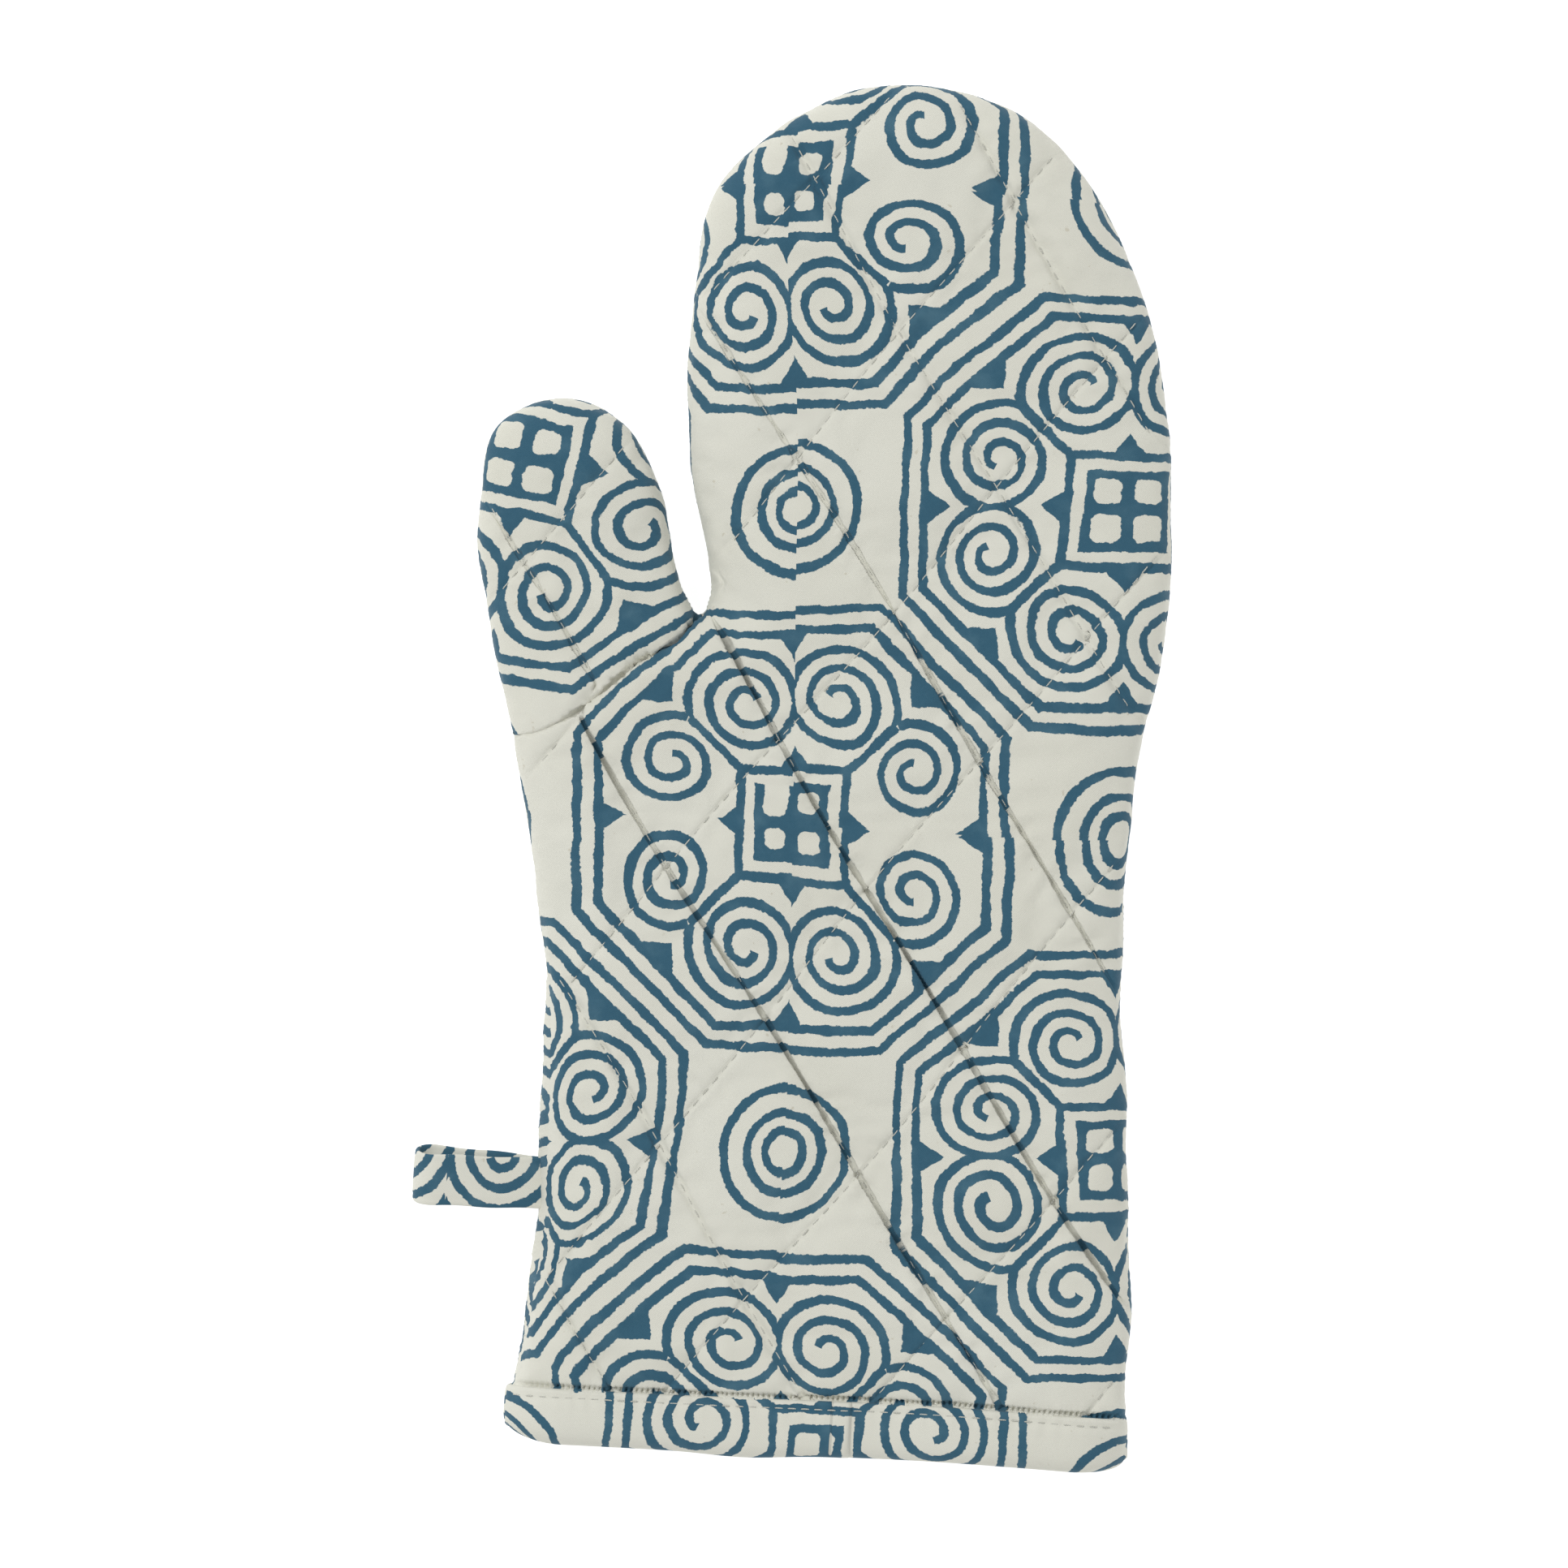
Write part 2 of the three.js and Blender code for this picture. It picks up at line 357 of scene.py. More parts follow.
def flat_panel(side):
    """Points and triangles of one side's flat pattern, with vertices along its seam, pleat and quilting."""
    seam, across = panel_outline()
    rim = np.vstack([seam, across])
    hinges = [int(np.argmin(sizes(seam - end))) for end in (PLEAT[0], PLEAT[-1])]
    pleat = evenly(np.vstack([seam[hinges[0]], PLEAT[4:-4], seam[hinges[1]]]), SPACING)[1:-1]
    points = [*rim, *pleat]
    count = len(rim)
    edges = [(i, (i + 1) % count) for i in range(count)]
    fold = [hinges[0], *range(count, count + len(pleat)), hinges[1]]
    edges += list(zip(fold, fold[1:]))
    creases = rows_beside(binding_crevice(), [IN_CREASE, BY_CREVICE])
    creases += rows_beside(evenly(PLEAT, SPACING / 2), [IN_CREASE]) if side > 0 else []
    stitched, beside = [], rows_beside(pleat, [BESIDE])
    for family, lines in enumerate(quilt_lines(side)):
        for number, line in zip(LINE_NUMBERS, lines):
            sharp = side > 0 and family == 0 and number in CREASES
            line = line[:: int(SPACING / GRAIN) // (2 if sharp else 1)]
            distance = nearest_seam(line)[1]
            kept = inside(line, rim) & (distance > 2.5) & (height_up(line) > TUCK + 2)
            kept &= nearest_pleat(line)[1] > 2
            for a, b in zip(np.nonzero(kept)[0], np.nonzero(kept)[0][1:]):
                if b == a + 1:
                    edges.append((len(points) + a, len(points) + b))
            points.extend(line)
            stitched.append(line[kept])
            beside.extend(rows_beside(line[kept], [BESIDE]))
            if sharp:
                creases.extend(rows_beside(line[kept], [IN_CREASE]))
    filling = filling_points(rim)
    lined = np.vstack([*stitched, pleat, rim])
    beside = drop_near(np.vstack(beside), lined, 0.8 * BESIDE)
    creases = np.vstack(creases)
    creases = drop_near(creases[inside(creases, rim)], lined, 0.8 * IN_CREASE)
    beside = np.vstack([drop_near(beside, creases, 0.5 * IN_CREASE), creases])
    filling = drop_near(filling, np.vstack([*stitched, pleat, beside]), 0.6 * SPACING)
    filling = np.vstack([beside, filling])
    points = np.vstack([points, filling])
    used = np.unique(np.r_[np.array(edges).ravel(), np.arange(len(points) - len(filling), len(points))])
    edges = np.searchsorted(used, edges).tolist()
    flat, _, faces, origins, _, _ = delaunay_2d_cdt([Vector(p) for p in points[used]], edges, [], 1, 0.05)
    flat = np.array(flat)
    on_seam = {i: min(o) for i, o in enumerate(origins) if o and min(o) < len(seam)}
    faces = [face for face in faces if len(set(face)) == 3]
    return flat, faces, on_seam


# ---- the padded form

def roll_of(feet):
    """How far the seam has rolled onto the front, in radians. It shows on the left below the thumb."""
    lower_left = (feet[:, 0] < 0) * np.exp(-((feet[:, 1] + 92) / 48) ** 4)
    return 0.42 * lower_left + 0.07 * murmur(feet, 60, 5) + 0.03


def half_thickness(inset):
    """The height over mid-height at a distance in from the seam: a tight round edge, then a gentle rise."""
    tight = np.sqrt(1 - (1 - share(inset / 5)) ** 2)
    rise = share(inset / 18)
    return HALF * (0.42 * tight + 0.58 * rise * (2 - rise))


def on_mitt(flat, side):
    """Where the points of the flat skin lie on the padded mitt."""
    index, distance = nearest_seam(flat)
    feet, inward = SEAM[index], inward_from(index, flat, distance)
    at_edge = share(1 - distance / EDGE)
    turn = np.arccos(at_edge) * side
    rolled = turn + roll_of(feet) * np.cos(turn) ** 2
    near = distance < EDGE
    inset = np.where(near, EDGE * (1 - np.cos(rolled)), distance)
    spot = np.where(near[:, None], feet + inward * (inset - SWELL * at_edge)[:, None], flat)
    flatness = share((height_up(flat) - 2) / 26)
    lower_at_cuff = 0.83 + 0.17 * flatness * (2 - flatness)
    height = np.sign(rolled) * half_thickness(inset) * lower_at_cuff
    return np.column_stack([spot, MID + height])


EASE = 0.5  # the cloth stretches over the edge, so that the print shifts less than the cloth
THUMB_EASE = 0.1


def cloth_shift(flat):
    """Cloth that runs down to the seam is longer than it looks from above: how far it reaches past that."""
    insets = EDGE * (1 - np.cos(np.linspace(0, pi / 2, 60)))
    steps = np.hypot(np.diff(insets), np.diff(half_thickness(insets)))
    surplus = np.r_[0, np.cumsum(steps)] - insets
    index, distance = nearest_seam(flat)
    extra = surplus[-1] - np.interp(distance, insets, surplus)
    return -inward_from(index, flat, distance) * extra[:, None]


def simulate(skin, pinned, limit):
    """Blows the skin up between its quilting lines with a cloth simulation."""
    group = skin.vertex_groups.new(name="stitched")
    group.add([int(i) for i in pinned], 1.0, "ADD")
    before = coordinates(skin.data)
    cloth = skin.modifiers.new("Cloth", "CLOTH")
    wanted = {"quality": 6, "mass": 0.3, "tension_stiffness": 20, "compression_stiffness": 12,
              "shear_stiffness": 6, "bending_stiffness": 0.4, "shrink_min": -0.01, "use_pressure": True,
              "uniform_pressure_force": 3, "vertex_group_mass": "stitched"}
    for name, value in wanted.items():
        setattr(cloth.settings, name, value)
    cloth.settings.effector_weights.gravity = 0
    cloth.collision_settings.use_collision = False
    scene = bpy.context.scene
    for number in range(1, 21):
        scene.frame_set(number)
    shown = skin.evaluated_get(bpy.context.evaluated_depsgraph_get())
    moved = coordinates(shown.data) - before
    skin.modifiers.remove(cloth)
    scene.frame_set(1)
    moved *= (limit * MM / np.maximum(sizes(moved), limit * MM))[:, None]
    set_coordinates(skin.data, before + moved)


# ---- mesh helpers

def read(items, field, width=3, kind=np.float32):
    """One field of all of a mesh's items, as rows of numbers or as one row."""
    values = np.zeros(len(items) * width, kind)
    items.foreach_get(field, values)
    return values.reshape(-1, width).astype(float) if width > 1 else values


def coordinates(mesh):
    return read(mesh.vertices, "co")


def set_coordinates(mesh, points):
    mesh.vertices.foreach_set("co", np.asarray(points, np.float32).ravel())
    mesh.update()


def store(mesh, name, values, domain="POINT"):
    attribute = mesh.attributes.new(name, "FLOAT_VECTOR", domain)
    attribute.data.foreach_set("vector", np.asarray(values, np.float32).ravel())


def placed_object(name, data):
    """An object of this data in the scene."""
    placed = bpy.data.objects.new(name, data)
    bpy.context.scene.collection.objects.link(placed)
    return placed


def new_object(name, points_mm, faces, material=None):
    mesh = bpy.data.meshes.new(name)
    mesh.from_pydata((np.asarray(points_mm) * MM).tolist(), [], faces)
    mesh.shade_smooth()
    if material:
        mesh.materials.append(material)
    return placed_object(name, mesh)


def corner_vertices(mesh):
    return read(mesh.loops, "vertex_index", 1, np.int32)


def tube_faces(rings, around, outward=True, base=0):
    """The faces between rings of points, each of which is closed on itself."""
    faces = []
    for j in range(rings - 1):
        for i in range(around):
            a, b = (base + j * around + k % around for k in (i, i + 1))
            face = (a, b, b + around, a + around)
            faces.append(face if outward else (a, *face[:0:-1]))
    return faces


# ---- the skin, both sides together

QUILT_DEPTH = 1.0  # how far the quilting pulls the cloth in
CUSP = 1.5  # how wide the pulled-in cloth is beside a line of stitches
SEAM_DEPTH = 1.1
CREVICE_DEPTH = 2.0
CREASE_DEPTH, CREASE_WIDTH = 2.6, 0.28
PLEAT_DEPTH, PLEAT_WIDTH = 3.2, 0.35


def whole_skin():
    """Both sides as one mesh that shares its seam. It keeps each point's flat place and its side."""
    panels = {side: flat_panel(side) for side in (1, -1)}
    points, flats, faces, numbers = [], [], [], {}
    pinned = []
    for side, (flat, triangles, on_seam) in panels.items():
        placed = on_mitt(flat, side)
        first, second = [Nearest(np.vstack(lines))(flat)[1] for lines in quilt_lines(side)]
        edge_distance = nearest_seam(flat)[1]
        stitched = (np.minimum(first, second) < 0.2) & (edge_distance > 2)
        depth = np.where(first < 0.2, 1, 0.55) * QUILT_DEPTH * share(edge_distance / 9)
        placed[:, 2] -= np.where(stitched, side * depth, 0)
        index = np.zeros(len(flat), int)
        for i in range(len(flat)):
            if i in on_seam and on_seam[i] in numbers:
                index[i] = numbers[on_seam[i]]
                continue
            index[i] = len(points)
            points.append(placed[i])
            flats.append((*flat[i], 0 if i in on_seam else side))
            if i in on_seam:
                numbers[on_seam[i]] = index[i]
            if i in on_seam or stitched[i] or height_up(flat[i]) < BAND - 1:
                pinned.append(index[i])
        for a, b, c in triangles:
            upward = np.cross(flat[b] - flat[a], flat[c] - flat[a]) > 0
            corners = (a, b, c) if upward == (side > 0) else (a, c, b)
            faces.append(tuple(int(index[k]) for k in corners))
    skin = new_object("skin", points, faces)
    store(skin.data, "flat", flats)
    return skin, pinned


def settle(points):
    """The underside rests on the table: what would sink below it is pressed flat."""
    give = 1.2
    low = points[:, 2] < give
    points[low, 2] = give * np.exp((points[low, 2] - give) / give)
    return points


def refined(skin):
    """The skin subdivided once, with the sharp detail of quilting, creases, seam and puckers."""
    subdivision = skin.modifiers.new("Subdivision", "SUBSURF")
    subdivision.levels = 1
    subdivision.boundary_smooth = "PRESERVE_CORNERS"
    shown = skin.evaluated_get(bpy.context.evaluated_depsgraph_get())
    mesh = bpy.data.meshes.new_from_object(shown)
    points, normals = coordinates(mesh) / MM, read(mesh.vertex_normals, "vector")
    flat = read(mesh.attributes["flat"].data, "vector")
    push = np.zeros(len(points))
    for side in (1, -1):
        mine = flat[:, 2] * side > 0.01
        push[mine] += quilting_relief(flat[mine, :2], side)
    edge_distance = nearest_seam(flat[:, :2])[1]
    push -= SEAM_DEPTH * bell(edge_distance, 1.5)
    push += 0.35 * murmur(points, 34, 11) + 0.12 * murmur(points, 9, 12)
    in_band = share((BAND + 1 - height_up(flat[:, :2])) / 3)
    push = push * (1 - in_band) - 0.5 * in_band
    from_crevice = Nearest(binding_crevice())(flat[:, :2])[1]
    push -= CREVICE_DEPTH * bell(from_crevice, 0.5) * share(edge_distance / 5)
    points = settle(points + normals * push[:, None])
    set_coordinates(mesh, points * MM)
    return mesh, flat


def sharpness(number, along, flat):
    """How sharply the cloth is creased along the numbered lines of the front's first family."""
    strength = sum((number == line) * value for line, value in CREASES.items())
    lower = share((38 - flat[:, 1]) / 8) * share((flat[:, 1] + 150) / 40)
    off_thumb = ~inside(flat, thumb_region()) * share(nearest_pleat(flat)[1] / 5)
    uneven = 0.6 + 0.4 * np.sin(along / 9.5 + 0.8 * number) * np.sin(along / 26)
    return strength * lower * off_thumb * uneven


def quilting_relief(flat, side):
    """How far the cloth stands out or in beside the quilting, the creases and the pleat."""
    edge_distance = nearest_seam(flat)[1]
    fade = share(edge_distance / 8)
    relief = np.zeros(len(flat))
    for family, lines in enumerate(quilt_lines(side)):
        dense = np.vstack(lines)
        per_line = len(lines[0])
        index, distance = Nearest(dense)(flat)
        along = (index % per_line) * GRAIN
        number = index // per_line + LINE_NUMBERS[0]
        pull = (0.75 + 0.25 * np.sin(along / 23 + 1.7 * number)) * (0.4 if family else 0.8)
        relief -= pull * fade * np.exp(-distance / CUSP)
        ripple = np.sin(2 * pi * along / 7.3 + 2.4 * murmur(flat, 24, 31 + family))
        relief += 0.22 * fade * ripple * bell(distance - 1.5, 4.0)
        if family == 0 and side > 0:
            sharp = sharpness(number, along, flat) * fade
            relief -= CREASE_DEPTH * sharp * bell(distance, CREASE_WIDTH)
            relief += 0.5 * sharp * bell(distance - 2.5, 2)
    if side > 0:
        index, distance = nearest_pleat(flat)
        strength = share(1 - index / len(PLEAT)) ** 0.7
        relief -= PLEAT_DEPTH * strength * bell(distance, PLEAT_WIDTH)
        relief += 0.5 * strength * bell(distance - 4, 3)
    return relief


# Where the front's cloth was pulled askew as it was sewn: the place, how far round it, and the pull.
PULLS = (((62.0, -45.0), 34.0, (-0.2, -4.4)), ((-46.0, -122.0), 28.0, (-4.4, 2.0)),
         ((16.0, 125.0), 26.0, (-5.0, 1.2)), ((-30.0, 0.0), 30.0, (0.6, 2.6)),
         ((70.0, 125.0), 30.0, (2.0, -2.4)), ((-40.0, -65.0), 22.0, (2.0, 0.4)),
         ((5.0, -112.0), 28.0, (-1.6, -2.0)), ((62.0, -125.0), 26.0, (1.0, -3.0)),
         ((50.0, 50.0), 24.0, (-2.4, 0.6)))
THUMB_OCTAGON = np.array([-64.0, 75.8])  # the middle of the octagon on the thumb
THUMB_PRINT_TURN = radians(10)
BACK_PRINT_SHIFT = np.array([31.0, 17.0])


def cloth_place(flat, side, on_thumb):
    """The place on the printed cloth of a point of the flat skin."""
    place = flat + (THUMB_EASE if on_thumb else EASE) * cloth_shift(flat)
    if side < 0:
        return place * np.array([-1, 1]) + BACK_PRINT_SHIFT
    if on_thumb:
        cosine, sine = cos(THUMB_PRINT_TURN), sin(THUMB_PRINT_TURN)
        octagon = np.array(PRINT_CENTRE) + np.array([-PITCH_X, PITCH_Y])
        return octagon + (place - THUMB_OCTAGON) @ np.array([[cosine, sine], [-sine, cosine]])
    for centre, reach, pull in PULLS:
        place = place - bell(sizes(flat - np.array(centre)), reach)[:, None] * np.array(pull)
    return place


def divided(mesh, flat):
    """The skin as two objects, the hand with its fingers and the thumb, which meet edge to edge."""
    points, normals = coordinates(mesh) / MM, read(mesh.vertex_normals, "vector")
    faces = corner_vertices(mesh).reshape(-1, 4)
    middles = flat[faces].mean(1)
    thumb = inside(middles[:, :2], thumb_region())
    made = []
    for name, chosen in (("hand_and_fingers_cloth", ~thumb), ("thumb_cloth", thumb)):
        used, corners = np.unique(faces[chosen], return_inverse=True)
        corners = corners.ravel()
        piece = new_object(name, points[used], corners.reshape(-1, 4).tolist(), PRINTED)
        corner_side = np.repeat(np.sign(middles[chosen, 2]), 4)
        places = np.zeros((len(corners), 3))
        for side in (1, -1):
            here = corner_side == side
            placed = cloth_place(flat[used, :2], side, name == "thumb_cloth")
            places[here, :2] = placed[corners[here]]
            places[here, 2] = side * 5
        store(piece.data, "cloth", places, "CORNER")
        piece.data.normals_split_custom_set_from_vertices(normals[used].tolist())
        made.append(piece)
    return made


# ---- materials

def add_node(tree, kind, inputs, **settings):
    """A new node. Each input is given as a field, a socket or a plain value."""
    node = tree.nodes.new(kind)
    for name, value in settings.items():
        setattr(node, name, value)
    for name, value in inputs.items():
        value = getattr(value, "socket", value)
        if isinstance(value, bpy.types.NodeSocket):
            tree.links.new(value, node.inputs[name])
        else:
            node.inputs[name].default_value = value
    return node


class Field:
    """A number that varies over the cloth: a socket of a shader's nodes, with ordinary arithmetic."""

    def __init__(self, tree, socket):
        self.tree, self.socket = tree, socket

    def math(self, operation, *others, first=None):
        values = (self if first is None else first, *others)
        node = add_node(self.tree, "ShaderNodeMath", dict(enumerate(values)), operation=operation)
        return Field(self.tree, node.outputs[0])

    def __rsub__(self, other):
        return self.math("SUBTRACT", self, first=other)


def operation(name):
    return lambda field, *others: field.math(name, *others)


for method, name in {"__add__": "ADD", "__radd__": "ADD", "__sub__": "SUBTRACT", "__mul__": "MULTIPLY",
                     "__truediv__": "DIVIDE", "__abs__": "ABSOLUTE", "floor": "FLOOR", "nearest": "ROUND",
                     "over": "MAXIMUM", "under": "MINIMUM", "root": "SQRT", "sine": "SINE", "sign": "SIGN",
                     "past_whole": "FRACT", "angle_to": "ARCTAN2"}.items():
    setattr(Field, method, operation(name))


def hypotenuse(x, y):
    return (x * x + y * y).root()


class Cloth:
    """A material under construction, with the place on the cloth in millimetres."""

    def __init__(self, name, attribute="cloth"):
        self.material = bpy.data.materials.new(name)
        self.material.use_nodes = True
        self.tree = self.material.node_tree
        self.shader = self.tree.nodes["Principled BSDF"]
        place = add_node(self.tree, "ShaderNodeAttribute", {}, attribute_name=attribute)
        self.place = place.outputs["Vector"]
        self.x, self.y, self.z = self.parts(self.place)

    def parts(self, socket):
        split = add_node(self.tree, "ShaderNodeSeparateXYZ", {0: socket})
        return [Field(self.tree, output) for output in split.outputs]

    def vector(self, *fields):
        return add_node(self.tree, "ShaderNodeCombineXYZ", dict(enumerate(fields))).outputs[0]

    def noise(self, size, detail=2.0, place=None):
        """Noise from 0 to 1 with features of about size millimetres."""
        inputs = {"Scale": 1 / size, "Detail": detail, "Vector": place or self.place}
        return Field(self.tree, add_node(self.tree, "ShaderNodeTexNoise", inputs).outputs["Fac"])

    def chance(self, *fields):
        """Three random numbers that stay the same for the same fields."""
        node = add_node(self.tree, "ShaderNodeTexWhiteNoise", {"Vector": self.vector(*fields)})
        return self.parts(node.outputs["Color"])

    def ramp(self, value, low, high, smooth=True):
        """0 below low, 1 above high, and in between a smooth step."""
        node = add_node(self.tree, "ShaderNodeMapRange", {"From Min": low, "From Max": high, "Value": value},
                        interpolation_type="SMOOTHSTEP" if smooth else "LINEAR")
        return Field(self.tree, node.outputs["Result"])

    def blend(self, share, first, second):
        """A colour between two colours, or sockets of colours."""
        ends = [(*value, 1) if isinstance(value, tuple) else value for value in (first, second)]
        inputs = {"Factor": share, 6: ends[0], 7: ends[1]}
        return add_node(self.tree, "ShaderNodeMix", inputs, data_type="RGBA").outputs[2]

    def bump(self, height, distance):
        inputs = {"Strength": 1, "Distance": distance * MM, "Height": height}
        node = add_node(self.tree, "ShaderNodeBump", inputs)
        self.tree.links.new(node.outputs[0], self.shader.inputs["Normal"])

    def finished(self, colour, roughness, sheen, specular=0.5):
        """The material, once its colour and finish are set."""
        self.tree.links.new(colour, self.shader.inputs["Base Color"])
        wanted = {"Roughness": roughness, "Sheen Weight": sheen, "Specular IOR Level": specular}
        for name, value in wanted.items():
            self.shader.inputs[name].default_value = value
        return self.material


def srgb(red, green, blue):
    """A colour given as it looks on a screen, from 0 to 255, as linear light."""
    shares = [value / 255 for value in (red, green, blue)]
    return tuple(c / 12.92 if c <= 0.04045 else ((c + 0.055) / 1.055) ** 2.4 for c in shares)


CREAM = srgb(223, 223, 213)
CREAM_SHADE = srgb(212, 211, 198)
INK = srgb(50, 91, 112)
INK_PALE = srgb(88, 124, 140)
THREAD = srgb(212, 212, 202)

# The print: octagons on a checkerboard with rings between them.
PITCH_X = 78.0
PITCH_Y = 75.5
PRINT_CENTRE = (0.0, -11.0)
PRINT_TILT = radians(1.0)
LINE = 1.06  # half the width of a printed line


def weave_height(cloth):
    """The weave's threads, over and under, at two threads to the millimetre."""
    pitch = 0.52
    across = (cloth.x * (2 * pi / pitch)).sine()
    along = (cloth.y * (2 * pi / pitch)).sine()
    slub = cloth.noise(1.6, 3)
    return across * along * 0.5 + slub * 1.2


def rounded_box(x, y, half_width, half_height, radius):
    """Distance to a box round the origin with round corners, negative inside."""
    past_x = (abs(x) - half_width + radius).over(0)
    past_y = (abs(y) - half_height + radius).over(0)
    return hypotenuse(past_x, past_y) - radius


def octagon_ink(m, n, is_other):
    """Distance in millimetres to the printed lines of one octagon, from its folded coordinates."""
    outer, inner, square = 51.4, 46.6, 13.0  # from the middle to the outlines and to the square
    corner = (m + n) / sqrt(2)
    size = m.over(corner)
    outlines = (abs(size - outer) - LINE).under(abs(size - inner) - LINE)
    spike = (n - (m - 40.0) * 0.64).over(m - inner)
    corner_block = (28.6 - n).over(corner - inner)
    frame_line = abs(m - square) - LINE
    point = (n - (18.8 - m) * 0.75).over(square - m)
    opening = is_other * 0.55 + 2.45
    windows = (m - 9.4).over(0 - rounded_box(m - 4.35, n - 4.35, opening, opening, 1.5))
    start, end = square * sqrt(2), 34.8
    stalk = (abs(m - n) / sqrt(2) - LINE).over(abs(corner - (start + end) / 2) - (end - start) / 2)
    ink = outlines
    for part in (spike, corner_block, frame_line, point, windows, stalk):
        ink = ink.under(part)
    return ink


def spiral_ink(m, n, touching):
    """Distance to the spiral in one eighth of the octagon. touching is 1 where it meets its neighbour across
    the axis, and -1 where a space is left between them."""
    pitch, start_angle = 4.8, radians(111)
    turns = touching * 0.22 + 2.27
    px = m - 29.3
    py = n - (12.5 - touching * 1.2)
    outer = 12.95 + touching * 1.15
    radius = hypotenuse(px, py)
    angle = py.angle_to(px)
    share = ((start_angle - angle) / (2 * pi)).past_whole()
    lap = ((outer - radius) / pitch - share).nearest()
    lap = lap.over(0).under((turns - share).floor())
    return abs(radius - outer + (share + lap) * pitch) - LINE


def ring_ink(x, y):
    radius = hypotenuse(x, y)
    ink = abs(radius - 14.8) - LINE
    for size in (8.9, 4.6):
        ink = ink.under(abs(radius - size) - LINE)
    return ink


def print_distance(cloth):
    """How far a place on the cloth is from the printed ink, negative inside it, in millimetres."""
    cosine, sine = cos(PRINT_TILT), sin(PRINT_TILT)
    x0, y0 = cloth.x - PRINT_CENTRE[0], cloth.y - PRINT_CENTRE[1]
    x, y = x0 * cosine - y0 * sine, x0 * sine + y0 * cosine
    # Each stamp of the block lands a little off, and the carving wanders.
    jitter = cloth.chance((x / (2 * PITCH_X)).floor(), (y / (2 * PITCH_Y)).floor(), cloth.z.nearest())
    x, y = x + (jitter[0] - 0.5) * 1.8, y + (jitter[1] - 0.5) * 1.8
    for size, size_across, layer, reach in ((30, 26, 7, 3.2), (5.5, 5.1, 3, 1.1)):
        x = x + (cloth.noise(size, 1) - 0.5) * reach
        y = y + (cloth.noise(size_across, 1, cloth.vector(cloth.y, cloth.x, layer)) - 0.5) * reach
    u = (x / PITCH_X + y / PITCH_Y) / 2
    v = (x / PITCH_X - y / PITCH_Y) / 2
    cell_u, cell_v = u.nearest(), v.nearest()
    is_other = abs(((cell_u + cell_v) / 2).past_whole() * 2)
    du, dv = u - cell_u, v - cell_v
    dx, dy = (du + dv) * PITCH_X, (du - dv) * PITCH_Y
    m, n = abs(dx).over(abs(dy)), abs(dx).under(abs(dy))
    touching = (abs(dy) - abs(dx)).sign().over(is_other * 2 - 1)
    fu, fv = u - u.floor() - 0.5, v - v.floor() - 0.5
    ink = octagon_ink(m, n, is_other)
    # Every other block has lost a chip of wood above one of its windows.
    chip = rounded_box(dx + 4.3, dy - 7.0, 2.9, 4.0, 1.6) + is_other * 50
    ink = ink.over(0 - chip)
    ink = ink.under(spiral_ink(m, n, touching))
    ink = ink.under(ring_ink((fu + fv) * PITCH_X, (fu - fv) * PITCH_Y))
    rough = cloth.noise(0.9, 3)
    swell = cloth.noise(13, 1)
    return ink + (rough - 0.5) * 0.9 + (swell - 0.5) * 0.7


def printed_cotton(name):
    cloth = Cloth(name)
    distance = print_distance(cloth)
    inked = 1 - cloth.ramp(distance, -0.11, 0.11)
    cream = cloth.blend(cloth.noise(38, 3), CREAM, CREAM_SHADE)
    fleck = cloth.ramp(cloth.noise(1.9, 2), 0.72, 0.8)
    cream = cloth.blend(fleck * 0.35, cream, srgb(172, 160, 134))
    mottle = cloth.ramp(cloth.noise(7, 3), 0.45, 0.8)
    thin = (mottle * 0.4 + cloth.noise(0.8, 2) * 0.15).under(1)
    ink = cloth.blend(thin, INK, INK_PALE)
    cloth.bump(weave_height(cloth), 0.045)
    return cloth.finished(cloth.blend(inked, cream, ink), 0.92, 0.12, 0.2)


def plain_cotton(name, colour, shade):
    cloth = Cloth(name)
    cloth.bump(weave_height(cloth), 0.06)
    return cloth.finished(cloth.blend(cloth.noise(5, 4), colour, shade), 0.95, 0.1, 0.2)


def sewing_thread(name, colour):
    """Twisted thread: the attribute's x runs along a stitch and its y round it."""
    cloth = Cloth(name, "along")
    twist = (cloth.x * 9 + cloth.y * 2 * pi).sine()
    # Painted shade: the thread is darker in the grooves of its twist, where the bump is lowest, and full
    # colour on the ridges.
    groove_shaded_tone = cloth.blend(cloth.ramp(twist, -1, 1, False), tuple(c * 0.72 for c in colour), colour)
    cloth.bump(twist, 0.05)
    return cloth.finished(groove_shaded_tone, 0.6, 0.15)


PRINTED = printed_cotton("printed_cotton")
LINING = plain_cotton("lining_cotton", srgb(214, 210, 194), srgb(196, 190, 170))
STITCHING = sewing_thread("sewing_thread", THREAD)


# ---- the cuff

CUFF_WIDTH = np.linalg.norm(MOUTH_RIGHT - MOUTH_LEFT)
BINDING_JOIN = 81.5  # where the binding's end laps over its beginning, from its left corner
LAP = 5.3  # how much of the print the lap hides
INSET_LEFT, INSET_RIGHT = 0.8, 1.3  # how far in from the mouth's corners the cuff ends
TOPSTITCHED = BAND - 2.4  # how far up the binding its row of stitches runs
LINING_DEPTH = 7.2


def on_cuff(along, up):
    """Places on the cuff from the mouth's left corner, lifted as much as the binding is there."""
    return MOUTH_LEFT + along[:, None] * CUFF_ALONG + (up + band_rise(along))[:, None] * CUFF_UP


